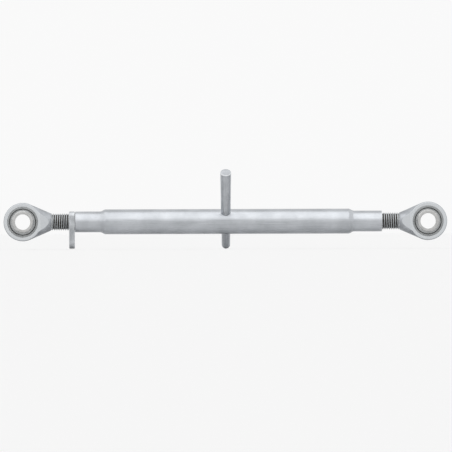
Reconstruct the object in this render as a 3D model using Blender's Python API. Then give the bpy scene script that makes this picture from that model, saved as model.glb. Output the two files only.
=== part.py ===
"""Tractor top link: two captive ball ends screwed into a swaged turnbuckle barrel.

+X runs along the link from the left ball to the right ball, -Y is the side that the drawing
shows, +Z is up, and the origin is the centre of the left ball's pin bore. Lengths are in metres.
The left rod end has a left-hand thread and the right one a right-hand thread, so turning the
barrel by its tommy bar lengthens or shortens the link, and the lock nut on the left thread
holds the setting. Threads are plain cylinders at their major diameter.
"""
from math import acos, atan2, cos, hypot, pi, radians, sin, sqrt, tan

import bmesh
import bpy
from mathutils import Matrix

# Gap left between pieces that touch, and how far a cutter runs past what it cuts
touch_gap = 0.0003
cut_overrun = 0.002

# Captive ball, for a Category 2 upper link pin
ball_radius = 0.025
ball_width = 0.051
pin_bore_diameter = 0.0257
collar_wall = 0.00425
ball_chamfer = 0.0006

# Forged eye that is pressed in round the ball
eye_width = 0.032
eye_wall = 0.0061
eye_edge_radius = 0.0012
lip_rim = 0.0058
lip_depth = 0.00325

# Neck that flares from the threaded shank to the eye, with a flat facet on each side
neck_length = 0.0156
neck_relief = 0.0005
crease_setback = 0.0021
facet_setback = 0.0031

# Threaded shank, 1 1/8 in, and how much thread shows at the length drawn
thread_diameter = 0.028575
shank_chamfer = 0.0025
left_thread_shown = 0.0298
right_thread_shown = 0.0291
shank_ends_apart = 0.147

# Lock nut, a plate with a lever
nut_thickness = 0.0093
nut_side_wall = 0.0044
nut_top_wall = 0.0027
nut_corner_radius = 0.008
nut_edge_radius = 0.0012
lever_length = 0.0296
lever_end_width = 0.026
lever_end_radius = 0.0115
lever_taper_radius = 0.03
nut_countersink = 0.0009

# Barrel, a tube swaged down at each end to the size that is tapped
barrel_length = 0.508
tube_wall = 0.0049
tube_clearance = 0.00146
swaged_wall = 0.00266
left_swaged_length = 0.0415
right_swaged_length = 0.0463
swage_length = 0.0095
barrel_chamfer = 0.0007

# Tommy bar driven through the barrel, leaning toward the viewer at its top
bar_offset = -0.0044
bar_lean = radians(40)
bar_top_length = 0.1058
bar_low_length = 0.0565
bar_top_diameter = 0.018
bar_low_diameter = 0.014
bar_edge_radius = 0.0012

# How finely round shapes are divided
ball_segments = 40
eye_segments = 64
shank_segments = 40
barrel_segments = 40
bar_segments = 24
seat_steps = 6
swage_steps = 5
fillet_steps = 3
dome_steps = 6

# Sizes that follow from the ones above
thread_radius = thread_diameter / 2
hole_radius = thread_radius + touch_gap
collar_radius = pin_bore_diameter / 2 + collar_wall
seat_radius = ball_radius + touch_gap
eye_radius = seat_radius + eye_wall
eye_half = eye_width / 2
neck_reach = eye_radius + neck_length
nut_left = neck_reach + left_thread_shown
barrel_left = nut_left + nut_thickness + touch_gap
barrel_right = barrel_left + barrel_length
centre_distance = barrel_right + right_thread_shown + neck_reach
shank_length = (centre_distance - 2 * neck_reach - shank_ends_apart) / 2
tube_bore_radius = thread_radius + tube_clearance
barrel_radius = tube_bore_radius + tube_wall
swaged_radius = hole_radius + swaged_wall


def steel(name, colour, roughness):
    """A bare or plated steel."""
    material = bpy.data.materials.new(name)
    material.use_nodes = True
    shader = material.node_tree.nodes["Principled BSDF"]
    shader.inputs["Base Color"].default_value = (*colour, 1)
    shader.inputs["Metallic"].default_value = 1
    shader.inputs["Roughness"].default_value = roughness
    return material


def turned(name, profile, axis, segments):
    """Spin an outline of (along, radius) points round an axis, closed if it isn't yet on it."""
    bm = bmesh.new()
    if axis == "X":
        corners = [(along, 0, radius) for along, radius in profile]
    elif axis == "Y":
        corners = [(0, along, radius) for along, radius in profile]
    else:
        corners = [(radius, 0, along) for along, radius in profile]
    points = [bm.verts.new(corner) for corner in corners]
    edges = [bm.edges.new(pair) for pair in zip(points, points[1:])]
    if profile[0][1] > 0:
        edges.append(bm.edges.new((points[-1], points[0])))
    direction = {"X": (1, 0, 0), "Y": (0, 1, 0), "Z": (0, 0, 1)}[axis]
    bmesh.ops.spin(
        bm, geom=points + edges, cent=(0, 0, 0), axis=direction, angle=2 * pi, steps=segments, use_merge=True
    )
    return solid(name, bm)


def extruded(name, outline, axis, low, high):
    """Extrude a flat outline along X, or along Z, from one place to another."""
    bm = bmesh.new()
    if axis == "X":
        corners = [(low, across, up) for across, up in outline]
        travel = (high - low, 0, 0)
    else:
        corners = [(across, up, low) for across, up in outline]
        travel = (0, 0, high - low)
    face = bm.faces.new([bm.verts.new(corner) for corner in corners])
    grown = bmesh.ops.extrude_face_region(bm, geom=[face], use_keep_orig=True)
    moved = [item for item in grown["geom"] if isinstance(item, bmesh.types.BMVert)]
    bmesh.ops.translate(bm, vec=travel, verts=moved)
    return solid(name, bm)


def solid(name, bm):
    """Weld a mesh, turn its faces outward and put it in the scene as a smooth-shaded object."""
    bmesh.ops.remove_doubles(bm, verts=bm.verts, dist=touch_gap / 100)
    bmesh.ops.dissolve_degenerate(bm, edges=bm.edges, dist=touch_gap / 100)
    bmesh.ops.recalc_face_normals(bm, faces=bm.faces)
    mesh = bpy.data.meshes.new(name)
    bm.to_mesh(mesh)
    bm.free()
    mesh.shade_smooth()
    mesh.set_sharp_from_angle(angle=radians(35))
    piece = bpy.data.objects.new(name, mesh)
    bpy.context.scene.collection.objects.link(piece)
    return piece


def combine(piece, other, operation):
    """Join another solid to a piece, or cut it away, and keep it only as a hidden guide."""
    other.hide_render = True
    other.display_type = "WIRE"
    if other.parent is None:
        other.parent = piece
    step = piece.modifiers.new(other.name, "BOOLEAN")
    step.operation = operation
    step.solver = "EXACT"
    step.object = other


def arc(centre, radius, start, end, steps):
    """Points on an arc of an outline, first and last included."""
    turns = [start + (end - start) * i / steps for i in range(steps + 1)]
    return [(centre[0] + radius * cos(turn), centre[1] + radius * sin(turn)) for turn in turns]


def rounded(corners):
    """An outline of (across, up, radius) corners with each corner turned into an arc."""
    outline = []
    for i, (across, up, radius) in enumerate(corners):
        before, after = corners[i - 1], corners[(i + 1) % len(corners)]
        back = atan2(before[1] - up, before[0] - across)
        ahead = atan2(after[1] - up, after[0] - across)
        half = ((ahead - back + pi) % (2 * pi) - pi) / 2
        middle = back + half
        reach = radius / abs(sin(half))
        centre = (across + reach * cos(middle), up + reach * sin(middle))
        swing = pi / 2 - abs(half)
        sign = 1 if half > 0 else -1
        facing = middle + pi
        outline += arc(centre, radius, facing + sign * swing, facing - sign * swing, 2 * fillet_steps)
    return outline


def make_ball(name, place, finish):
    """A bored ball with a cylindrical collar on each side, turned from bar."""
    half = ball_width / 2
    bore = pin_bore_diameter / 2
    spread = atan2(collar_radius, sqrt(ball_radius**2 - collar_radius**2))
    crown = [
        (-ball_radius * cos(turn), ball_radius * sin(turn))
        for turn in (spread + (pi - 2 * spread) * i / (2 * seat_steps) for i in range(2 * seat_steps + 1))
    ]
    collar = [(half - ball_chamfer, collar_radius), (half, collar_radius - ball_chamfer)]
    bored = [(half, bore + ball_chamfer), (half - ball_chamfer, bore)]
    right = collar + bored
    left = [(-along, radius) for along, radius in reversed(right)]
    ball = turned(name, crown + right + left, "Y", ball_segments)
    ball.location.x = place
    ball.data.materials.append(finish)
    return ball


def make_seat_cutter(name):
    """What the eye is hollowed by: the ball's seat, opening through a pressed lip on each side."""
    lip_face = eye_half - lip_depth
    spread = acos(lip_face / seat_radius)
    seat = [
        (-seat_radius * cos(turn), seat_radius * sin(turn))
        for turn in (spread + (pi - 2 * spread) * i / (2 * seat_steps) for i in range(2 * seat_steps + 1))
    ]
    slope = (eye_radius - lip_rim - seat[-1][1]) / lip_depth
    mouth = eye_half + cut_overrun
    mouth_radius = eye_radius - lip_rim + cut_overrun * slope
    return turned(
        name, [(-mouth, 0), (-mouth, mouth_radius), *seat, (mouth, mouth_radius), (mouth, 0)], "Y", ball_segments
    )


def make_facet_cutter(name, side, flare):
    """The stock above one side face of the eye and above the neck's sloping facet."""
    crease = eye_radius - crease_setback
    tip = neck_reach - facet_setback
    tip_height = thread_radius - neck_relief + facet_setback * tan(flare)
    fall = (eye_half - tip_height) / (tip - crease)
    clear = eye_radius + cut_overrun
    outline = [
        (-clear, side * eye_half),
        (crease, side * eye_half),
        (neck_reach, side * (eye_half - fall * (neck_reach - crease))),
        (neck_reach, side * clear),
        (-clear, side * clear),
    ]
    return extruded(name, outline, "Z", -clear, clear)


def make_rod_end(name, finish):
    """A forging with the eye at the origin and its threaded shank along +X."""
    neck_radius = thread_radius - neck_relief
    flare = atan2(neck_reach, neck_radius) - acos(eye_radius / hypot(neck_reach, neck_radius))
    tangent = (eye_radius * sin(flare), eye_radius * cos(flare))
    shank_end = neck_reach + shank_length
    neck = [
        (tangent[0] / 2, 0),
        (tangent[0] / 2, collar_radius),
        tangent,
        (neck_reach, neck_radius),
        (neck_reach + neck_relief, thread_radius),
        (shank_end - shank_chamfer, thread_radius),
        (shank_end, thread_radius - shank_chamfer),
        (shank_end, 0),
    ]
    rod_end = turned(name, neck, "X", shank_segments)
    edge = eye_half - eye_edge_radius, eye_radius - eye_edge_radius
    rim = arc(edge, eye_edge_radius, 0, pi / 2, fillet_steps)
    face = [(eye_half, 0), *rim]
    eye = turned(name + "_eye", face + [(-along, radius) for along, radius in reversed(face)], "Y", eye_segments)
    combine(rod_end, eye, "UNION")
    for side in (-1, 1):
        combine(rod_end, make_facet_cutter(f"{name}_facet_{side + 1}", side, flare), "DIFFERENCE")
    combine(rod_end, make_seat_cutter(name + "_seat"), "DIFFERENCE")
    rod_end.data.materials.append(finish)
    return rod_end


def make_lock_nut(name, finish):
    """A plate nut with a lever, tapped left-hand, its near face at the origin."""
    side = hole_radius + nut_side_wall
    top = hole_radius + nut_top_wall
    bottom = -hole_radius - lever_length
    corners = [
        (-side, top, nut_corner_radius),
        (-side, -hole_radius / 2, lever_taper_radius),
        (-lever_end_width / 2, bottom, lever_end_radius),
        (lever_end_width / 2, bottom, lever_end_radius),
        (side, -hole_radius / 2, lever_taper_radius),
        (side, top, nut_corner_radius),
    ]
    nut = extruded(name, rounded(corners), "X", 0, nut_thickness)
    edges = nut.modifiers.new("rounded_edges", "BEVEL")
    edges.width = nut_edge_radius
    edges.segments = 2
    edges.limit_method = "ANGLE"
    edges.angle_limit = radians(60)
    mouth = hole_radius + nut_countersink
    hole = turned(
        name + "_hole",
        [
            (-cut_overrun, 0),
            (-cut_overrun, mouth + cut_overrun),
            (nut_countersink, hole_radius),
            (nut_thickness - nut_countersink, hole_radius),
            (nut_thickness + cut_overrun, mouth + cut_overrun),
            (nut_thickness + cut_overrun, 0),
        ],
        "X",
        shank_segments,
    )
    combine(nut, hole, "DIFFERENCE")
    nut.location.x = nut_left
    nut.data.materials.append(finish)
    return nut


def swage(start, low, high, steps):
    """Points of a smooth S from one radius to another over the swage's length."""
    rise = high - low
    return [
        (start + swage_length * i / steps, low + rise * (1 - cos(pi * i / steps)) / 2) for i in range(steps + 1)
    ]


def barrel_side(neck, outside, inside):
    """The outline of one end of the barrel from the tube's outside round to its inside."""
    outer = swage(neck, outside[0], outside[1], swage_steps)
    inner = swage(neck, inside[0], inside[1], swage_steps)
    lead = [
        (barrel_chamfer, swaged_radius),
        (0, swaged_radius - barrel_chamfer),
        (0, hole_radius + barrel_chamfer),
        (barrel_chamfer, hole_radius),
    ]
    return [*reversed(outer), *lead, *inner]


def make_barrel(name, finish):
    """A steel tube swaged at both ends, its left end at the origin."""
    sizes = (swaged_radius, barrel_radius), (hole_radius, tube_bore_radius)
    left = barrel_side(left_swaged_length, *sizes)
    right = [(barrel_length - along, radius) for along, radius in barrel_side(right_swaged_length, *sizes)]
    barrel = turned(name, left + list(reversed(right)), "X", barrel_segments)
    barrel.location.x = barrel_left
    barrel.data.materials.append(finish)
    return barrel


def bar_outline(clearance):
    """The tapered tommy bar from its domed lower end to its flat top, grown by a clearance."""
    dome = bar_low_diameter / 2
    start = dome - bar_low_length
    low = [
        (start - (dome + clearance) * cos(turn), (dome + clearance) * sin(turn))
        for turn in (pi / 2 * i / dome_steps for i in range(dome_steps + 1))
    ]
    top_radius = bar_top_diameter / 2
    edge = (bar_top_length - bar_edge_radius, top_radius - bar_edge_radius)
    grown = bar_edge_radius + clearance
    top = [
        (edge[0] + grown * sin(turn), edge[1] + grown * cos(turn))
        for turn in (pi / 2 * i / fillet_steps for i in range(fillet_steps + 1))
    ]
    return [*low, *top, (bar_top_length + clearance, 0)]


def make_tommy_bar(name, barrel, finish):
    """The tapered bar, driven through a cross hole of the same taper in the barrel."""
    bar = turned(name, bar_outline(0), "Z", bar_segments)
    hole = turned("barrel_cross_hole", bar_outline(touch_gap), "Z", bar_segments)
    for piece in (bar, hole):
        piece.parent = barrel
        piece.location.x = barrel_length / 2 + bar_offset
        piece.rotation_euler.x = bar_lean
    combine(barrel, hole, "DIFFERENCE")
    bar.data.materials.append(finish)
    return bar


for old in list(bpy.data.objects):
    bpy.data.objects.remove(old)

forged = steel("plated_forging", (0.52, 0.53, 0.54), 0.42)
bearing = steel("hardened_ball", (0.62, 0.62, 0.62), 0.22)
plated = steel("plated_tube", (0.6, 0.61, 0.62), 0.33)
plate = steel("plated_plate", (0.56, 0.57, 0.58), 0.38)

left_rod_end = make_rod_end("left_rod_end", forged)
right_rod_end = make_rod_end("right_rod_end", forged)
right_rod_end.matrix_world = Matrix.Translation((centre_distance, 0, 0)) @ Matrix.Rotation(pi, 4, "Z")
make_ball("left_ball", 0, bearing)
make_ball("right_ball", centre_distance, bearing)
make_lock_nut("lock_nut", plate)
barrel = make_barrel("barrel", plated)
make_tommy_bar("tommy_bar", barrel, plated)
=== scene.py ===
from math import acos, atan2, ceil, cos, hypot, pi, radians, sin, tan

import bmesh
import bpy
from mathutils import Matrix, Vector


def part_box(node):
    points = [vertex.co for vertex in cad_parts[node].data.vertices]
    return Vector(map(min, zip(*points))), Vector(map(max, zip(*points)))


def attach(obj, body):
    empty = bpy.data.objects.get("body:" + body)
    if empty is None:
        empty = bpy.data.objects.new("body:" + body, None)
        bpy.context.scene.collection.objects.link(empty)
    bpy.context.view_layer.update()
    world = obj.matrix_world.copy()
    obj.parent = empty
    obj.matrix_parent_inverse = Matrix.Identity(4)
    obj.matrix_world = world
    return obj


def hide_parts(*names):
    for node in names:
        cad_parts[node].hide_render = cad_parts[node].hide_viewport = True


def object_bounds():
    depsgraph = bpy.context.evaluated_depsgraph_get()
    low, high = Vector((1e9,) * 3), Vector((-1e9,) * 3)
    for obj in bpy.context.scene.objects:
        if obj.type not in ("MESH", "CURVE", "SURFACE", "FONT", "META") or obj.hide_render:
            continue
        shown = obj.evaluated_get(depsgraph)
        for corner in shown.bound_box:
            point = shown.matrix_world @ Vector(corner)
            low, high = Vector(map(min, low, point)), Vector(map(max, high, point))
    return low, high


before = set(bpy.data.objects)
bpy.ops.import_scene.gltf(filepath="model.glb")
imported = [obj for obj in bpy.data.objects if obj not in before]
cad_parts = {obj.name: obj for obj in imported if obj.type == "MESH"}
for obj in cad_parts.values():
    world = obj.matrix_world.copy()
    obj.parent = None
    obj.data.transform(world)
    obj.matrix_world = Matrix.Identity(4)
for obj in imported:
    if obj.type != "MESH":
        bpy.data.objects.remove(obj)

# The link lies along X with the left ball's pin bore at the origin, and is drawn from the -Y side.
cad_low, cad_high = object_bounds()


# Camera
# The drawing is a flat side view, so the camera stands far off with a very long lens. The link lies
# a fifth of a degree askew on the sheet, its right end higher, and the camera is turned by as much.
picture_pixels = 452
left_pin_pixel = (22.75, 222.1)
right_pin_pixel = (428.0, 220.8)
lens = 1000
far_clip = 200

ball_low, ball_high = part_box("left_ball")
far_ball_low, far_ball_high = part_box("right_ball")
left_pin = (ball_low + ball_high) / 2
right_pin = (far_ball_low + far_ball_high) / 2
run = right_pin_pixel[0] - left_pin_pixel[0]
rise = left_pin_pixel[1] - right_pin_pixel[1]
lean = atan2(rise, run)
pixel = (right_pin - left_pin).length / hypot(run, rise)
to_right = Vector((cos(lean), 0, -sin(lean)))
to_top = Vector((sin(lean), 0, cos(lean)))
right_of_pin = picture_pixels / 2 - left_pin_pixel[0]
below_pin = picture_pixels / 2 - left_pin_pixel[1]
aim = left_pin + pixel * (right_of_pin * to_right - below_pin * to_top)

bpy.ops.object.select_all(action="DESELECT")
bpy.ops.object.camera_add(rotation=(pi / 2, lean, 0))
camera = bpy.context.object
camera.data.lens = lens
stand_off = picture_pixels * pixel * lens / camera.data.sensor_width
camera.location = aim - Vector((0, stand_off, 0))
camera.data.clip_end = far_clip
bpy.context.scene.camera = camera


# Floor and light
# A plain white studio floor just under the lowest piece, a white sky and two broad lamps. Diffuse
# surfaces get a little over half their light from the sky and the rest from the lamps.
mm = 0.001  # lengths are in metres, written in millimetres
floor_gap = 0.6 * mm
floor_size = 80
floor_white = "FBFBFB"
sky_white = 0.95
sky_light = 0.58
# Each lamp's direction, its share of the light on a white surface, and its spread in degrees
lamps = {"key": ((-0.5, -0.6, 1.0), 0.33, 90), "fill": ((0.9, -0.3, 0.6), 0.2, 120)}


def colour(code):
    """Turn an sRGB hex colour into the linear one that a shader takes."""
    shares = [int(code[i:i + 2], 16) / 255 for i in (0, 2, 4)]
    return (*[s / 12.92 if s <= 0.04045 else ((s + 0.055) / 1.055) ** 2.4 for s in shares], 1)


def node(tree, kind, sockets=(), **settings):
    """Add a node with its settings, and give its sockets, by name or in order, values or links."""
    added = tree.nodes.new("ShaderNode" + kind)
    for setting, value in settings.items():
        setattr(added, setting, value)
    pairs = sockets.items() if isinstance(sockets, dict) else enumerate(sockets)
    for name, value in pairs:
        if isinstance(name, int):
            socket = added.inputs[name]
        else:
            socket = next(s for s in added.inputs if s.enabled and s.name == name)
        if isinstance(value, bpy.types.Node):
            value = next(s for s in value.outputs if s.enabled)
        if isinstance(value, bpy.types.NodeSocket):
            tree.links.new(value, socket)
        else:
            socket.default_value = value
    return added


def new_material(name):
    """Start a material, and give it with its node tree and its shader."""
    material = bpy.data.materials.new(name)
    material.use_nodes = True
    return material, material.node_tree, material.node_tree.nodes["Principled BSDF"]


bpy.ops.mesh.primitive_plane_add(size=floor_size, location=(aim.x, 0, cad_low.z - floor_gap))
floor = bpy.context.object
floor.name = "studio_floor"
painted, tree, shader = new_material("matt_white_paint")
shader.inputs["Base Color"].default_value = colour(floor_white)
shader.inputs["Roughness"].default_value = 0.9
shader.inputs["Specular IOR Level"].default_value = 0
floor.data.materials.append(painted)

sky = bpy.data.worlds.new("studio_sky")
sky.use_nodes = True
bpy.context.scene.world = sky
tree = sky.node_tree
ray = node(tree, "LightPath")
seen = node(tree, "Math", (ray.outputs["Is Camera Ray"], ray.outputs["Is Glossy Ray"]), operation="ADD")
seen = node(tree, "Math", (seen, ray.outputs["Is Transmission Ray"]), operation="ADD", use_clamp=True)
strength = node(tree, "MapRange", {"Value": seen, "To Min": sky_light, "To Max": sky_white})
tree.links.new(strength.outputs[0], tree.nodes["Background"].inputs["Strength"])
tree.nodes["Background"].inputs["Color"].default_value = (1, 1, 1, 1)

for lamp_name, (direction, light_share, spread) in lamps.items():
    bpy.ops.object.light_add(type="SUN", rotation=Vector(direction).to_track_quat("Z", "Y").to_euler())
    lamp = bpy.context.object
    lamp.name = lamp_name
    lamp.data.energy = light_share * pi
    lamp.data.angle = radians(spread)

bpy.context.scene.view_settings.view_transform = "Standard"


# Rod ends
# Two drop forgings in medium carbon steel, each with its eye, flared neck and shank in one. The eye
# is bored to a ball seat and its lips are pressed in round the ball. The shanks have rolled 1 1/8 in
# threads, left-hand at the left end and right-hand at the right end, and all of it is zinc plated.
rod_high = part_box("left_rod_end")[1]
eye_radius = rod_high.z
eye_half = rod_high.y
shank_end = rod_high.x
edge_radius = 1.2 * mm
flash_width = 2.4 * mm
flash_height = 0.35 * mm
crease_setback = 2.1 * mm  # from the eye's edge in to the facets' crease
facet_setback = 3.1 * mm  # from the neck's end back to the facets' end

# The unified coarse thread: its section over one pitch is in shares of the pitch along it and of the
# depth up from its root
inch = 25.4 * mm
threads_per_inch = 7
pitch = inch / threads_per_inch
crest_radius = 1.125 * inch / 2
rolled_depth_share = 0.6134
thread_depth = rolled_depth_share * pitch
thread_section = [
    (0, 0.96), (0.04, 1), (0.115, 1), (0.155, 0.96),
    (0.455, 0.06), (0.5, 0), (0.655, 0), (0.7, 0.06), (1, 0.96),
]
run_out = 0.8 * pitch
core_depth = 1.02 * thread_depth
shank_chamfer = 2.5 * mm

# The neck's cone meets the eye's round edge at a tangent
neck_length = 15.6 * mm
neck_reach = eye_radius + neck_length
neck_relief = 0.5 * mm
neck_radius = crest_radius - neck_relief
neck_step = 0.4 * mm
flare = atan2(neck_reach, neck_radius) - acos(eye_radius / hypot(neck_reach, neck_radius))

seat_gap = 0.2 * mm
seat_radius = ball_high.z + seat_gap
lip_rim = 5.8 * mm  # the flat face left round the lip
lip_depth = 3.25 * mm

# How finely the meshes are made, and how far a cutting piece stands out
forging_grain = 0.48 * mm
weld_distance = 0.001 * mm
cut_overrun = 2 * mm
smooth_angle = radians(30)
square_angle = radians(60)
bevel_steps = 3
thread_steps = 48
shank_steps = 96
eye_steps = 128
seat_steps = 32


def draw(name, corners):
    """Draw an open line by pulling a vertex from corner to corner, and stay in edit mode."""
    bpy.ops.object.select_all(action="DESELECT")
    bpy.ops.mesh.primitive_plane_add(size=mm)
    piece = bpy.context.object
    piece.name = name
    bpy.ops.object.mode_set(mode="EDIT")
    bpy.ops.mesh.merge(type="CENTER")
    bpy.ops.transform.translate(value=corners[0])
    for start, end in zip(corners, corners[1:]):
        bpy.ops.mesh.extrude_vertices_move(TRANSFORM_OT_translate={"value": Vector(end) - Vector(start)})
    return piece


def weld(piece):
    """Merge an edited mesh's doubles, turn its faces outward and leave edit mode."""
    bpy.ops.mesh.select_all(action="SELECT")
    bpy.ops.mesh.remove_doubles(threshold=weld_distance)
    bpy.ops.mesh.normals_make_consistent(inside=False)
    if bmesh.from_edit_mesh(piece.data).calc_volume(signed=True) < 0:
        bpy.ops.mesh.flip_normals()
    bpy.ops.object.mode_set(mode="OBJECT")


def turn(name, outline, steps, centre=(0, 0, 0), axis=(1, 0, 0)):
    """Turn a piece as on a lathe: draw its outline of (along, radius) corners and spin it."""
    axis = Vector(axis).normalized()
    out = axis.orthogonal().normalized()
    piece = draw(name, [Vector(centre) + along * axis + radius * out for along, radius in outline])
    bpy.ops.mesh.select_all(action="SELECT")
    bpy.ops.mesh.spin(steps=steps, angle=2 * pi, center=centre, axis=axis)
    weld(piece)
    return piece


def pick(piece):
    """Make one piece the only one selected, and the active one."""
    bpy.ops.object.select_all(action="DESELECT")
    piece.select_set(True)
    bpy.context.view_layer.objects.active = piece


def work(piece, kind, **settings):
    """Add a modifier to a piece and apply it."""
    pick(piece)
    step = piece.modifiers.new(kind.lower(), kind)
    for setting, value in settings.items():
        setattr(step, setting, value)
    bpy.ops.object.modifier_apply(modifier=step.name)


def combine(piece, other, operation):
    """Join another piece to this one or cut it away, and remove the other."""
    work(piece, "BOOLEAN", operation=operation, solver="MANIFOLD", object=other)
    bpy.data.objects.remove(other)


def put_at_right(piece):
    """Turn a piece end for end and bring it to the link's right end."""
    pick(piece)
    bpy.ops.transform.rotate(value=pi, orient_axis="Z", center_override=(0, 0, 0))
    bpy.ops.transform.translate(value=right_pin)
    bpy.ops.object.transform_apply(location=True, rotation=True, scale=True)


def thread(name, start, end, hand, grown):
    """Make a solid thread round X by screwing its section along, in phase with every other thread."""
    # From a whole pitch before the start to one past the end
    first = int(start // pitch) - 1
    turns = int(end // pitch) + 2 - first
    root = crest_radius - thread_depth + grown
    piece = draw(name, [((first + x) * pitch, 0, root + up * thread_depth) for x, up in thread_section])
    bpy.ops.object.mode_set(mode="OBJECT")
    work(
        piece, "SCREW", axis="X", angle=hand * 2 * pi, screw_offset=pitch, iterations=turns,
        steps=thread_steps, render_steps=thread_steps,
    )
    bpy.ops.object.mode_set(mode="EDIT")
    bpy.ops.mesh.select_all(action="SELECT")
    bpy.ops.mesh.remove_doubles(threshold=weld_distance)
    bpy.ops.mesh.bisect(plane_co=(start, 0, 0), plane_no=(1, 0, 0), use_fill=True, clear_inner=True)
    bpy.ops.mesh.select_all(action="SELECT")
    bpy.ops.mesh.bisect(plane_co=(end, 0, 0), plane_no=(1, 0, 0), use_fill=True, clear_outer=True)
    weld(piece)
    return piece


def coat(piece, material):
    """Give all of a piece one material."""
    piece.data.materials.clear()
    piece.data.materials.append(material)


def finish(piece):
    """Dissolve the slivers that cuts leave, and shade a piece smooth up to its sharp edges."""
    pick(piece)
    bpy.ops.object.mode_set(mode="EDIT")
    bpy.ops.mesh.select_all(action="SELECT")
    bpy.ops.mesh.dissolve_degenerate(threshold=weld_distance)
    bpy.ops.object.mode_set(mode="OBJECT")
    bpy.ops.object.shade_smooth_by_angle(angle=smooth_angle)
    work(piece, "WEIGHTED_NORMAL", keep_sharp=True)


def arc(centre, radius, start, end, steps):
    """Corners on an arc of an outline, first and last included."""
    angles = [start + (end - start) * i / steps for i in range(steps + 1)]
    return [(centre[0] + radius * cos(angle), centre[1] + radius * sin(angle)) for angle in angles]


def make_blank(grown, half_width):
    """One layer of the forging: the eye's disc and the neck's cone, trimmed to a half width."""
    wide = neck_radius + (neck_reach - eye_half) * tan(flare) + grown
    cone_outline = [(eye_half, 0), (eye_half, wide), (neck_reach, neck_radius + grown), (neck_reach, 0)]
    cone = turn("neck", cone_outline, shank_steps)
    bpy.ops.object.select_all(action="DESELECT")
    bpy.ops.mesh.primitive_cylinder_add(
        vertices=eye_steps, radius=eye_radius + grown, depth=2 * half_width, rotation=(pi / 2, 0, 0)
    )
    disc = bpy.context.object
    bpy.ops.object.transform_apply(location=True, rotation=True, scale=True)
    # The flash line is too thin to have rounded rims
    if half_width > edge_radius:
        work(
            disc, "BEVEL", width=edge_radius, segments=bevel_steps, limit_method="ANGLE",
            angle_limit=square_angle,
        )
    # The facets fall from a crease in the eye's faces to the neck's end, and cut both the eye and neck
    tip_height = neck_radius + facet_setback * tan(flare)
    fall = (eye_half - tip_height) / (neck_reach - facet_setback - eye_radius + crease_setback)
    sides = [((0, sign * half_width, 0), (0, sign, 0)) for sign in (-1, 1)]
    facets = [((eye_radius - crease_setback, sign * eye_half, 0), (fall, sign, 0)) for sign in (-1, 1)]
    for layer, planes in ((cone, sides + facets), (disc, facets)):
        pick(layer)
        bpy.ops.object.mode_set(mode="EDIT")
        for point, normal in planes:
            bpy.ops.mesh.select_all(action="SELECT")
            bpy.ops.mesh.bisect(plane_co=point, plane_no=normal, use_fill=True, clear_outer=True)
        bpy.ops.object.mode_set(mode="OBJECT")
    cone.select_set(True)
    bpy.ops.object.join()
    return disc


# The forging's two layers, its body with rounded rims and the trimmed flash line round the middle,
# are fused and softened
forging = make_blank(0, eye_half)
flash = make_blank(flash_height, flash_width / 2)
pick(forging)
flash.select_set(True)
bpy.ops.object.join()
work(forging, "REMESH", mode="VOXEL", voxel_size=forging_grain)
work(forging, "SMOOTH", factor=0.5, iterations=2)

# The ball seat, bored through, with the pressed lip as a cone at each mouth
lip_face = eye_half - lip_depth
opening = acos(lip_face / seat_radius)
seat = arc((0, 0), seat_radius, pi - opening, opening, seat_steps)
seat_mouth = seat[-1][1]
rim = eye_radius - lip_rim
slope = (rim - seat_mouth) / lip_depth
cut_half = eye_half + cut_overrun
cut_radius = rim + cut_overrun * slope
seat_outline = [(-cut_half, 0), (-cut_half, cut_radius), *seat, (cut_half, cut_radius), (cut_half, 0)]
combine(forging, turn("seat", seat_outline, eye_steps, axis=(0, 1, 0)), "DIFFERENCE")

pick(forging)
bpy.ops.object.duplicate()
far_forging = bpy.context.object
put_at_right(far_forging)

# The shanks: a thread trimmed to its length and chamfer, and the plain core that it runs out on,
# which ends just under the thread's root
trim_outline = [
    (neck_reach - neck_step, 0),
    (neck_reach - neck_step, crest_radius + cut_overrun),
    (shank_end - shank_chamfer - cut_overrun, crest_radius + cut_overrun),
    (shank_end, crest_radius - shank_chamfer),
    (shank_end, 0),
]
core_outline = [
    (neck_reach - cut_overrun, 0),
    (neck_reach - cut_overrun, neck_radius - neck_step),
    (neck_reach, neck_radius - neck_step),
    (neck_reach + run_out, crest_radius - core_depth),
    (neck_reach + run_out, 0),
]
for side, forged, hand in (("left", forging, -1), ("right", far_forging, 1)):
    shank = thread(f"{side}_shank", neck_reach - cut_overrun, shank_end + cut_overrun, hand, 0)
    combine(shank, turn("trim", trim_outline, shank_steps), "INTERSECT")
    combine(shank, turn("core", core_outline, shank_steps), "UNION")
    if side == "right":
        put_at_right(shank)
    combine(forged, shank, "UNION")
    forged.name = f"{side}_forged_end"
    finish(forged)
    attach(forged, f"{side}_end")
    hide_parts(f"{side}_rod_end")

# Zinc-plated drop forging: a shot-blasted skin under thin bright plate, dull and finely pitted. The
# eye's faces are milled, the sloping facets pressed flat and the lips smooth, with grease and painted
# shade in a dark ring round the ball. The rolled thread shines, and oil and painted shade darken its
# roots. The pits and the milling rings are drawn coarser than real ones, to show.
forging_pale = "B4B7BB"
forging_dull = "9B9EA2"
forging_pit = "7E8185"
forging_milled = "CFD2D4"
forging_smooth = "CCCFD1"
forging_pressed = "BFC2C5"
# The oil and grease colours also stand for painted shade: in thread roots and round the ball's seat
oil_and_shade = "4A4641"
grease_and_shade = "4B4844"
oil_film = 0.15
grease_and_shade_width = 0.7 * mm
blotch_size = 14 * mm
pit_size = 1.1 * mm
pit_depth = 0.05 * mm
pit_tone = 0.7
turning_feed = 0.8 * mm
turning_depth = 0.007 * mm
turning_tone = 0.3
plating_cloud = 0.45
blasted_roughness = (0.4, 0.56)
milled_roughness = (0.27, 0.37)
# Finishes fade into each other over these widths
thread_blend = 0.5 * mm
blend = 0.2 * mm
# A wave texture at scale 1 has one wave in this length
unit_wave = pi / 10
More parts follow.
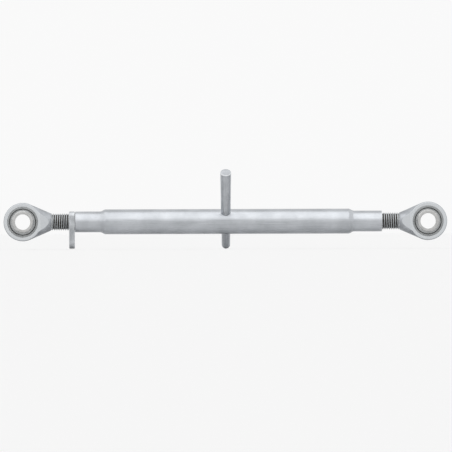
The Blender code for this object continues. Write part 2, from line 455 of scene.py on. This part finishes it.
# Spans that a finish fades over: of a noise, of the thread's depth and of a normal's share along Y
blotch_span = (0.35, 0.65)
noise_span = (0.3, 0.7)
pit_span = (0.6, 0.75)
film_span = (0.04, 0.14)
root_span = (0.5, 1)
flat_span = (0.93, 0.99)
link_middle = (left_pin.x + right_pin.x) / 2


def from_nearer_pin(tree, at):
    """How far a place lies along the link from the nearer pin, toward the middle."""
    inward = node(tree, "Math", (at.outputs["X"], link_middle), operation="SUBTRACT")
    inward = node(tree, "Math", (inward,), operation="ABSOLUTE")
    return node(tree, "Math", (link_middle, inward), operation="SUBTRACT")


def from_line(tree, **across):
    """How far a place lies from an axis, by its two coordinates across that axis."""
    out = node(tree, "CombineXYZ", across)
    return node(tree, "VectorMath", (out,), operation="LENGTH")


def set_metal(tree, shader, skin, dull, height):
    """Give a metal's shader its colour, its roughness and its relief, a height in metres."""
    relief = node(tree, "Bump", {"Height": height, "Distance": 1.0})
    tree.links.new(skin.outputs[2], shader.inputs["Base Color"])
    tree.links.new(dull.outputs[0], shader.inputs["Roughness"])
    tree.links.new(relief.outputs[0], shader.inputs["Normal"])
    shader.inputs["Metallic"].default_value = 1


zinc_forging, tree, shader = new_material("zinc_plated_drop_forging")
surface = node(tree, "TexCoord")
place = surface.outputs["Object"]
at = node(tree, "SeparateXYZ", (place,))
facing = node(tree, "SeparateXYZ", (surface.outputs["Normal"],))
inward = from_nearer_pin(tree, at)
from_pin = from_line(tree, X=inward, Z=at.outputs["Z"])
from_axis = from_line(tree, Y=at.outputs["Y"], Z=at.outputs["Z"])
round_pin = node(tree, "CombineXYZ", (inward, at.outputs["Y"], at.outputs["Z"]))

# Where the thread is, and its oil film, with painted shade deep in its roots
threaded = node(tree, "MapRange", (inward, neck_reach, neck_reach + thread_blend))
down = node(tree, "Math", (crest_radius, from_axis), operation="SUBTRACT")
down = node(tree, "Math", (down, thread_depth), operation="DIVIDE")
film = node(tree, "MapRange", (down, *film_span, 0, oil_film))
# Painted shade, with the oil, darkens the thread toward its roots
deep = node(tree, "MapRange", (down, *root_span))
oiled_and_shaded = node(tree, "Math", (film, deep), operation="MAXIMUM")
oiled_and_shaded = node(tree, "Math", (oiled_and_shaded, threaded), operation="MULTIPLY")

# Where the lips, the milled faces and the facets are, and the grease with painted shade round the seat
pressed = node(tree, "MapRange", (from_pin, rim + 2 * blend, rim + blend))
greased_and_shaded = node(tree, "MapRange", (from_pin, seat_mouth + grease_and_shade_width, seat_mouth + grease_and_shade_width / 3))
sideways = node(tree, "Math", (facing.outputs["Y"],), operation="ABSOLUTE")
flank = node(tree, "MapRange", (sideways, *flat_span))
crease = eye_radius - crease_setback
on_eye = node(tree, "MapRange", (inward, crease + blend / 2, crease - blend / 2))
on_neck = node(tree, "Math", (1, on_eye), operation="SUBTRACT")
milled = node(tree, "Math", (flank, on_eye), operation="MULTIPLY")
cone_top = neck_radius + neck_reach * tan(flare)
cut_in = node(tree, "Math", (inward, -tan(flare), cone_top), operation="MULTIPLY_ADD")
cut_in = node(tree, "Math", (cut_in, from_axis), operation="SUBTRACT")
facet = node(tree, "MapRange", (cut_in, blend, 2 * blend))
facet = node(tree, "Math", (facet, on_neck), operation="MULTIPLY")
machined = node(tree, "Math", (pressed, milled), operation="MAXIMUM")
smooth = node(tree, "Math", (threaded, machined), operation="MAXIMUM")
rough = node(tree, "Math", (1, smooth), operation="SUBTRACT")

ring = node(
    tree, "TexWave",
    {"Vector": round_pin, "Scale": unit_wave / turning_feed, "Distortion": 0.4, "Detail": 1},
    wave_type="RINGS", rings_direction="Y",
).outputs["Fac"]
blotch = node(tree, "TexNoise", {"Vector": place, "Scale": 1 / blotch_size, "Detail": 3})
grain = node(tree, "TexNoise", {"Vector": place, "Scale": 1 / pit_size, "Detail": 4, "Roughness": 0.65})
pit = node(tree, "MapRange", (grain, *pit_span, 0, pit_tone))
pit = node(tree, "Math", (pit, rough), operation="MULTIPLY")
shade = node(tree, "MapRange", (blotch, *blotch_span))
tone = node(tree, "Math", (ring, turning_tone), operation="MULTIPLY")
tone = node(tree, "Math", (shade, plating_cloud, tone), operation="MULTIPLY_ADD", use_clamp=True)
clouds = node(
    tree, "Mix", {"Factor": tone, "A": colour(forging_milled), "B": colour(forging_pressed)},
    data_type="RGBA",
)
skin = colour(forging_dull)
for share, over in (
    (shade, colour(forging_pale)),
    (pit, colour(forging_pit)),
    (facet, colour(forging_pressed)),
    (smooth, colour(forging_smooth)),
    (milled, clouds),
    (oiled_and_shaded, colour(oil_and_shade)),
    (greased_and_shaded, colour(grease_and_shade)),
):
    skin = node(tree, "Mix", {"Factor": share, "A": skin, "B": over}, data_type="RGBA")
dull = node(tree, "MapRange", (grain, *noise_span, *blasted_roughness))
clouded = node(tree, "MapRange", (shade, 0, 1, *milled_roughness))
dull = node(tree, "Mix", {"Factor": smooth, "A": dull, "B": clouded})
ring = node(tree, "Math", (ring, turning_depth), operation="MULTIPLY")
ring = node(tree, "Math", (ring, machined), operation="MULTIPLY")
pitted = node(tree, "Math", (grain, pit_depth), operation="MULTIPLY")
height = node(tree, "Math", (pitted, rough, ring), operation="MULTIPLY_ADD")
set_metal(tree, shader, skin, dull, height)
for forged in (forging, far_forging):
    coat(forged, zinc_forging)


# Balls
# Two bored balls with a collar on each side, turned from bearing steel, hardened and polished. Each
# is held in its eye by the pressed lips and swivels there, with its collars standing out of them.
ball_radius = ball_high.z
ball_half = ball_high.y
bore_radius = 25.7 * mm / 2
collar_wall = 4.25 * mm
collar_radius = bore_radius + collar_wall
ball_edge = 0.6 * mm
ball_edge_angle = radians(40)
crown_steps = 40

crown_angle = atan2(collar_radius, (ball_radius**2 - collar_radius**2) ** 0.5)
crown = arc((0, 0), ball_radius, pi - crown_angle, crown_angle, crown_steps)
ball_outline = [
    *crown,
    (ball_half, collar_radius),
    (ball_half, bore_radius),
    (-ball_half, bore_radius),
    (-ball_half, collar_radius),
    crown[0],
]
ball = turn("left_swivel_ball", ball_outline, eye_steps, left_pin, (0, 1, 0))
work(
    ball, "BEVEL", width=ball_edge, segments=bevel_steps, limit_method="ANGLE",
    angle_limit=ball_edge_angle,
)
bpy.ops.object.duplicate()
far_ball = bpy.context.object
far_ball.name = "right_swivel_ball"
bpy.ops.transform.translate(value=right_pin - left_pin)
bpy.ops.object.transform_apply(location=True, rotation=True, scale=True)
for side, swivel in (("left", ball), ("right", far_ball)):
    finish(swivel)
    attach(swivel, f"{side}_ball")
    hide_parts(f"{side}_ball")

# Hardened bearing steel: bright and polished, with faint rings left by the lathe, a light haze from
# handling, and grease with painted shade in a dark ring where the ball comes out of its seat. The
# rings are drawn coarser than real ones, to show.
bright_steel = "C4C4C3"
hazed_steel = "ADADAC"
haze_size = 9 * mm
haze_span = (0.4, 0.7)
polish_feed = 0.6 * mm
polish_depth = 0.0015 * mm
polished_roughness = (0.16, 0.28)
grease_and_shade_tone = 0.8
bore_wipe = 1 * mm

bearing_steel, tree, shader = new_material("polished_bearing_steel")
place = node(tree, "TexCoord").outputs["Object"]
at = node(tree, "SeparateXYZ", (place,))
inward = from_nearer_pin(tree, at)
from_pin = from_line(tree, X=inward, Z=at.outputs["Z"])
round_pin = node(tree, "CombineXYZ", (inward, at.outputs["Y"], at.outputs["Z"]))
ring = node(
    tree, "TexWave",
    {"Vector": round_pin, "Scale": unit_wave / polish_feed, "Distortion": 0.6, "Detail": 2},
    wave_type="RINGS", rings_direction="Y",
).outputs["Fac"]
haze = node(tree, "TexNoise", {"Vector": place, "Scale": 1 / haze_size, "Detail": 5, "Roughness": 0.6})
haze = node(tree, "MapRange", (haze, *haze_span))
out_of_seat = node(tree, "Math", (at.outputs["Y"],), operation="ABSOLUTE")
# Grease and painted shade make a dark ring where the ball comes out of its seat
greased_and_shaded = node(tree, "MapRange", (out_of_seat, lip_face + grease_and_shade_width, lip_face, 0, grease_and_shade_tone))
outside = node(tree, "MapRange", (from_pin, bore_radius + bore_wipe, bore_radius + 2 * bore_wipe))
greased_and_shaded = node(tree, "Math", (greased_and_shaded, outside), operation="MULTIPLY")
skin = colour(bright_steel)
for share, over in ((haze, hazed_steel), (greased_and_shaded, grease_and_shade)):
    skin = node(tree, "Mix", {"Factor": share, "A": skin, "B": colour(over)}, data_type="RGBA")
dull = node(tree, "MapRange", (haze, 0, 1, *polished_roughness))
height = node(tree, "Math", (ring, polish_depth), operation="MULTIPLY")
set_metal(tree, shader, skin, dull, height)
for swivel in (ball, far_ball):
    coat(swivel, bearing_steel)


# Lock nut
# A nut cut from steel plate with a lever below, tapped left-hand like the rod end that it runs on.
# It is turned up against the barrel's left end to hold the link's length.
nut_low, nut_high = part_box("lock_nut")
nut_side = nut_high.y
nut_top = nut_high.z
nut_bottom = nut_low.z
nut_shoulder = -7.3 * mm
lever_half = 13 * mm
nut_corner = 8 * mm
shoulder_radius = 30 * mm
lever_corner = 11.5 * mm
nut_edge = 1.1 * mm
arc_step = radians(7.5)
flat_angle = radians(0.05)
thread_play = 0.12 * mm
cut_depth_share = 0.5413
tapping_radius = crest_radius - cut_depth_share * pitch
mouth_chamfer = 0.9 * mm
mouth_radius = crest_radius + mouth_chamfer
countersink = mouth_radius - tapping_radius

# The outline's corners, each as (across, up, radius), are rounded by arcs
nut_corners = [
    (-nut_side, nut_top, nut_corner),
    (-nut_side, nut_shoulder, shoulder_radius),
    (-lever_half, nut_bottom, lever_corner),
    (lever_half, nut_bottom, lever_corner),
    (nut_side, nut_shoulder, shoulder_radius),
    (nut_side, nut_top, nut_corner),
]
nut_outline = []
for i, (across, up, radius) in enumerate(nut_corners):
    corner = Vector((across, up))
    back = (Vector(nut_corners[i - 1][:2]) - corner).normalized()
    ahead = (Vector(nut_corners[(i + 1) % len(nut_corners)][:2]) - corner).normalized()
    half_angle = back.angle(ahead) / 2
    centre = corner + (back + ahead).normalized() * radius / sin(half_angle)
    outward = atan2(corner.y - centre.y, corner.x - centre.x)
    sweep = pi / 2 - half_angle
    rounded = arc(centre, radius, outward - sweep, outward + sweep, ceil(2 * sweep / arc_step))
    nut_outline += [(nut_low.x, y, z) for y, z in rounded]
nut = draw("lever_lock_nut", nut_outline)
bpy.ops.mesh.select_all(action="SELECT")
bpy.ops.mesh.edge_face_add()
bpy.ops.mesh.extrude_region_move(TRANSFORM_OT_translate={"value": (nut_high.x - nut_low.x, 0, 0)})
weld(nut)
work(
    nut, "BEVEL", width=nut_edge, segments=bevel_steps, limit_method="ANGLE",
    angle_limit=square_angle,
)

# The tapped hole, countersunk at both faces, after which the faces that the cuts split are merged
hole_outline = [
    (nut_low.x - cut_overrun, 0),
    (nut_low.x - cut_overrun, mouth_radius),
    (nut_low.x, mouth_radius),
    (nut_low.x + countersink, tapping_radius),
    (nut_high.x - countersink, tapping_radius),
    (nut_high.x, mouth_radius),
    (nut_high.x + cut_overrun, mouth_radius),
    (nut_high.x + cut_overrun, 0),
]
combine(nut, turn("nut_hole", hole_outline, shank_steps), "DIFFERENCE")
nut_tap = thread("nut_tap", nut_low.x - cut_overrun, nut_high.x + cut_overrun, -1, thread_play)
combine(nut, nut_tap, "DIFFERENCE")
pick(nut)
bpy.ops.object.mode_set(mode="EDIT")
bpy.ops.mesh.select_all(action="SELECT")
bpy.ops.mesh.dissolve_limited(angle_limit=flat_angle)
bpy.ops.object.mode_set(mode="OBJECT")
finish(nut)
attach(nut, "lock_nut")
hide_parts("lock_nut")

# Zinc-plated hot-rolled plate: flat faces with fine rolling lines down the lever, and cut edges with
# the drag lines that run from face to face, both drawn coarser than real ones, to show. The rounded
# edges are rubbed bright, and the tapped hole holds a little dark oil with painted shade round the
# shank.
rubbed_zinc = "D3D5D7"
plate_pale = "BEC1C4"
plate_dull = "A6A9AC"
rolling_line = 0.7 * mm
stretch_share = 0.04
rolling_depth = 0.02 * mm
drag_line = 1.2 * mm
drag_depth = 0.07 * mm
oil_and_shade_reach = 0.6 * mm
oil_and_shade_tone = 0.85
plate_roughness = (0.32, 0.44)
# Spans of a normal's share along X: on a flat face, off the cut edge and off the flat face
face_span = (0.6, 0.9)
off_edge_span = (0.15, 0.45)
off_face_span = (0.98, 0.88)

zinc_plate, tree, shader = new_material("zinc_plated_steel_plate")
surface = node(tree, "TexCoord")
place = surface.outputs["Object"]
at = node(tree, "SeparateXYZ", (place,))
facing = node(tree, "SeparateXYZ", (surface.outputs["Normal"],))
lengthways = node(tree, "Math", (facing.outputs["X"],), operation="ABSOLUTE")
faced = node(tree, "MapRange", (lengthways, *face_span))
lines = node(tree, "Mapping", {"Vector": place, "Scale": (1, 1, stretch_share)})
lines = node(tree, "TexNoise", {"Vector": lines, "Scale": 1 / rolling_line, "Detail": 4})
drags = node(tree, "Mapping", {"Vector": place, "Scale": (stretch_share, 1, 1)})
drags = node(tree, "TexNoise", {"Vector": drags, "Scale": 1 / drag_line, "Detail": 3})
blotch = node(tree, "TexNoise", {"Vector": place, "Scale": 1 / blotch_size, "Detail": 4})
from_axis = from_line(tree, Y=at.outputs["Y"], Z=at.outputs["Z"])
# Oil and painted shade darken the tapped hole round the shank
oiled_and_shaded = node(tree, "MapRange", (from_axis, crest_radius + oil_and_shade_reach, tapping_radius, 0, oil_and_shade_tone))
off_edge = node(tree, "MapRange", (lengthways, *off_edge_span))
off_face = node(tree, "MapRange", (lengthways, *off_face_span))
outside = node(tree, "MapRange", (from_axis, mouth_radius, mouth_radius + mouth_chamfer))
worn = node(tree, "Math", (off_edge, off_face), operation="MULTIPLY")
worn = node(tree, "Math", (worn, outside), operation="MULTIPLY")
shade = node(tree, "MapRange", (blotch, *blotch_span))
skin = colour(plate_dull)
for share, over in ((shade, plate_pale), (worn, rubbed_zinc), (oiled_and_shaded, oil_and_shade)):
    skin = node(tree, "Mix", {"Factor": share, "A": skin, "B": colour(over)}, data_type="RGBA")
dull = node(tree, "MapRange", (lines, *noise_span, *plate_roughness))
cut_height = node(tree, "Math", (drags, drag_depth), operation="MULTIPLY")
rolled_height = node(tree, "Math", (lines, rolling_depth), operation="MULTIPLY")
height = node(tree, "Mix", {"Factor": faced, "A": cut_height, "B": rolled_height})
set_metal(tree, shader, skin, dull, height)
coat(nut, zinc_plate)


# Barrel
# Seamless steel tube swaged down at both ends to thick necks, which are tapped left-hand at the
# left end and right-hand at the right end. The outside is drawn bright and zinc plated. A cross hole
# through it takes the tommy bar, and has the bar's own lean and taper.
tube_low, tube_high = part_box("barrel")
tube_radius = tube_high.z
tube_clearance = 1.46 * mm
tube_bore = crest_radius + tube_clearance
hole_play = 0.3 * mm
neck_wall = 2.66 * mm
neck_outside = crest_radius + hole_play + neck_wall
left_neck = 41.5 * mm
right_neck = 46.3 * mm
swage_length = 9.5 * mm
swage_steps = 16
end_chamfer = 0.7 * mm
lead_radius = crest_radius + mouth_chamfer / 2
tube_steps = 160

# The tommy bar's place and form, which its cross hole follows
bar_low, bar_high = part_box("tommy_bar")
bar_centre = Vector(((bar_low.x + bar_high.x) / 2, 0, 0))
bar_lean = radians(40)
bar_axis = (0, -sin(bar_lean), cos(bar_lean))
bar_top = 105.8 * mm
bar_foot = 56.5 * mm
top_radius = 9 * mm
foot_radius = 7 * mm
top_edge = 1.2 * mm
drive_fit = 0.05 * mm
bar_steps = 96
dome_steps = 12
edge_steps = 6


def swage(start, low, high):
    """The smooth S from a neck's radius to the tube's."""
    shares = [i / swage_steps for i in range(swage_steps + 1)]
    return [(start + swage_length * s, low + (high - low) * (1 - cos(pi * s)) / 2) for s in shares]


def barrel_end(neck):
    """The outline of one end, from the tube's outside round the end to the tube's bore."""
    return [
        *reversed(swage(neck, neck_outside, tube_radius)),
        (end_chamfer, neck_outside),
        (0, neck_outside - end_chamfer),
        (0, lead_radius),
        (lead_radius - tapping_radius, tapping_radius),
        *swage(neck, tapping_radius, tube_bore),
    ]


def bar_outline(fit):
    """The bar's outline from the tip of its round foot to its flat top, grown by a fit."""
    dome = arc((foot_radius - bar_foot, 0), foot_radius + fit, pi, pi / 2, dome_steps)
    edge = arc((bar_top - top_edge, top_radius - top_edge), top_edge + fit, pi / 2, 0, edge_steps)
    return [*dome, *edge, (bar_top + fit, 0)]


left_end = [(tube_low.x + along, radius) for along, radius in barrel_end(left_neck)]
right_end = [(tube_high.x - along, radius) for along, radius in barrel_end(right_neck)]
barrel = turn("swaged_barrel", [*left_end, *reversed(right_end), left_end[0]], tube_steps)
left_stop = tube_low.x + left_neck + swage_length
combine(barrel, thread("left_tap", tube_low.x - cut_overrun, left_stop, -1, thread_play), "DIFFERENCE")
right_start = right_pin.x - tube_high.x
right_stop = right_start + right_neck + swage_length
right_tap = thread("right_tap", right_start - cut_overrun, right_stop, 1, thread_play)
put_at_right(right_tap)
combine(barrel, right_tap, "DIFFERENCE")
cross_hole = turn("cross_hole", bar_outline(drive_fit), bar_steps, bar_centre, bar_axis)
combine(barrel, cross_hole, "DIFFERENCE")
finish(barrel)
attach(barrel, "barrel")
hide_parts("barrel")

# Zinc-plated drawn tube: bright, with draw lines along it and a faint cloudy bloom from the plating
# bath. Swaging leaves shallow rings round the necks, and handling leaves dull scuffs. The ends are
# turned, and their rims rubbed bright. The draw lines are drawn coarser than real ones, to show.
tube_pale = "BDC0C4"
tube_dull = "A9ACB0"
tube_worn = "939598"
draw_line = 0.9 * mm
draw_stretch_share = 0.012
draw_depth = 0.03 * mm
draw_tone = 0.9
noise_mean = 0.5
bloom_size = 28 * mm
swaging_ring = 2.4 * mm
swaging_depth = 0.012 * mm
scuff_size = 3 * mm
scuff_stretch_share = 0.25
scuff_span = (0.58, 0.75)
scuff_tone = 0.4
scuff_dulling = 0.14
drawn_roughness = (0.26, 0.38)
end_face_span = (0.85, 0.95)


def drawn_finish(tree, lengthened, place, cloud_size, dull_code, pale_code):
    """The look of drawn and plated metal: its lines, its colour and its roughness."""
    lines = node(
        tree, "TexNoise", {"Vector": lengthened, "Scale": 1 / draw_line, "Detail": 5, "Roughness": 0.6}
    )
    bloom = node(
        tree, "TexNoise", {"Vector": place, "Scale": 1 / cloud_size, "Detail": 4, "Roughness": 0.55}
    )
    streaked = node(tree, "Math", (lines, noise_mean), operation="SUBTRACT")
    streaked = node(tree, "Math", (streaked, draw_tone, bloom), operation="MULTIPLY_ADD")
    shade = node(tree, "MapRange", (streaked, *noise_span))
    skin = node(
        tree, "Mix", {"Factor": shade, "A": colour(dull_code), "B": colour(pale_code)}, data_type="RGBA"
    )
    dull = node(tree, "MapRange", (lines, *noise_span, *drawn_roughness))
    return lines, skin, dull


drawn_tube, tree, shader = new_material("zinc_plated_drawn_tube")
surface = node(tree, "TexCoord")
place = surface.outputs["Object"]
at = node(tree, "SeparateXYZ", (place,))
facing = node(tree, "SeparateXYZ", (surface.outputs["Normal"],))

# The lines are laid out round the tube by the place's direction from its axis, and long along it
around = node(tree, "CombineXYZ", {"Y": at.outputs["Y"], "Z": at.outputs["Z"]})
around = node(tree, "VectorMath", (around,), operation="NORMALIZE")
around = node(tree, "VectorMath", {"Vector": around, "Scale": tube_radius}, operation="SCALE")
along = node(tree, "Mapping", {"Vector": place, "Scale": (draw_stretch_share, 0, 0)})
lengthened = node(tree, "VectorMath", (around, along), operation="ADD")
lines, skin, dull = drawn_finish(tree, lengthened, place, bloom_size, tube_dull, tube_pale)

# The turned end faces, their rubbed rims and the swaged necks
lengthways = node(tree, "Math", (facing.outputs["X"],), operation="ABSOLUTE")
faced = node(tree, "MapRange", (lengthways, *end_face_span))
off_face = node(tree, "Math", (1, faced), operation="SUBTRACT")
tube_middle = (tube_low.x + tube_high.x) / 2
tube_half = (tube_high.x - tube_low.x) / 2
from_middle = node(tree, "Math", (at.outputs["X"], tube_middle), operation="SUBTRACT")
from_middle = node(tree, "Math", (from_middle,), operation="ABSOLUTE")
at_rim = node(tree, "MapRange", (from_middle, tube_half - 2 * end_chamfer, tube_half - end_chamfer / 2))
worn = node(tree, "Math", (at_rim, off_face), operation="MULTIPLY")
left_swage = tube_low.x + left_neck
right_swage = tube_high.x - right_neck
on_left = node(tree, "MapRange", (at.outputs["X"], left_swage + swage_length, left_swage))
on_right = node(tree, "MapRange", (at.outputs["X"], right_swage - swage_length, right_swage))
swaged = node(tree, "Math", (on_left, on_right), operation="MAXIMUM")

turning = node(
    tree, "TexWave",
    {"Vector": place, "Scale": unit_wave / turning_feed, "Distortion": 0.4, "Detail": 1},
    wave_type="RINGS", rings_direction="X",
).outputs["Fac"]
rings = node(
    tree, "TexWave",
    {"Vector": place, "Scale": unit_wave / swaging_ring, "Distortion": 1.2, "Detail": 2},
    wave_type="BANDS", bands_direction="X",
).outputs["Fac"]
scuff = node(tree, "Mapping", {"Vector": place, "Scale": (scuff_stretch_share, 1, 1)})
scuff = node(tree, "TexNoise", {"Vector": scuff, "Scale": 1 / scuff_size, "Detail": 6, "Roughness": 0.7})
scuff = node(tree, "MapRange", (scuff, *scuff_span, 0, scuff_tone))
for share, over in ((scuff, tube_worn), (worn, rubbed_zinc)):
    skin = node(tree, "Mix", {"Factor": share, "A": skin, "B": colour(over)}, data_type="RGBA")
dull = node(tree, "Math", (scuff, scuff_dulling, dull), operation="MULTIPLY_ADD")
rings = node(tree, "Math", (rings, swaging_depth), operation="MULTIPLY")
rings = node(tree, "Math", (rings, swaged), operation="MULTIPLY")
drawn_height = node(tree, "Math", (lines, draw_depth, rings), operation="MULTIPLY_ADD")
turned_height = node(tree, "Math", (turning, turning_depth), operation="MULTIPLY")
height = node(tree, "Mix", {"Factor": faced, "A": drawn_height, "B": turned_height})
set_metal(tree, shader, skin, dull, height)
coat(barrel, drawn_tube)


# Tommy bar
# A tapered round bar of drawn steel with a flat top and a round foot, driven through the cross hole
# in the barrel, where its taper holds it. It leans toward the viewer at its top.
bar = turn("tapered_tommy_bar", bar_outline(0), bar_steps, bar_centre, bar_axis)
finish(bar)
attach(bar, "barrel")
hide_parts("tommy_bar")

# Zinc-plated drawn bar: the tube's bright finish with its lines along the bar. Its top edge is
# rubbed bright by hands, and its top is bruised where it was driven in. A painted shadow darkens it
# where it goes into the barrel.
bar_pale = "BCBFC3"
bar_dull = "A6A9AD"
# The dark colour of the painted shadow round the bar where it goes into the barrel
contact_shadow = "5C5A56"
contact_shadow_width = 0.9 * mm
contact_shadow_tone = 0.85
bruise_size = 2.5 * mm
bruise_depth = 0.12 * mm
bruised_length = 3 * mm
# Spans of a normal's share along the bar: off its side and off its flat top
off_side_span = (0.1, 0.4)
off_top_span = (0.98, 0.88)

drawn_bar, tree, shader = new_material("zinc_plated_drawn_bar")
surface = node(tree, "TexCoord")
place = surface.outputs["Object"]
at = node(tree, "SeparateXYZ", (place,))
upright = node(tree, "Mapping", {"Vector": place, "Rotation": (-bar_lean, 0, 0)}, vector_type="POINT")
up_bar = node(tree, "SeparateXYZ", (upright,)).outputs["Z"]
lengthened = node(tree, "Mapping", {"Vector": upright, "Scale": (1, 1, draw_stretch_share)})
lines, skin, dull = drawn_finish(tree, lengthened, place, blotch_size, bar_dull, bar_pale)

topped = node(tree, "MapRange", (up_bar, bar_top - bruised_length, bar_top))
normal = surface.outputs["Normal"]
upward = node(tree, "VectorMath", (normal, bar_axis), operation="DOT_PRODUCT").outputs["Value"]
off_side = node(tree, "MapRange", (upward, *off_side_span))
off_top = node(tree, "MapRange", (upward, *off_top_span))
worn = node(tree, "Math", (off_side, off_top), operation="MULTIPLY")
from_axis = from_line(tree, Y=at.outputs["Y"], Z=at.outputs["Z"])
# A painted shadow round the bar where it goes into the barrel
contact_shadowed = node(tree, "MapRange", (from_axis, tube_radius + contact_shadow_width, tube_radius, 0, contact_shadow_tone))
for share, over in ((worn, rubbed_zinc), (contact_shadowed, contact_shadow)):
    skin = node(tree, "Mix", {"Factor": share, "A": skin, "B": colour(over)}, data_type="RGBA")
bruise = node(tree, "TexNoise", {"Vector": place, "Scale": 1 / bruise_size, "Detail": 2})
bruise = node(tree, "Math", (bruise, bruise_depth), operation="MULTIPLY")
bruise = node(tree, "Math", (bruise, topped), operation="MULTIPLY")
height = node(tree, "Math", (lines, draw_depth, bruise), operation="MULTIPLY_ADD")
set_metal(tree, shader, skin, dull, height)
coat(bar, drawn_bar)
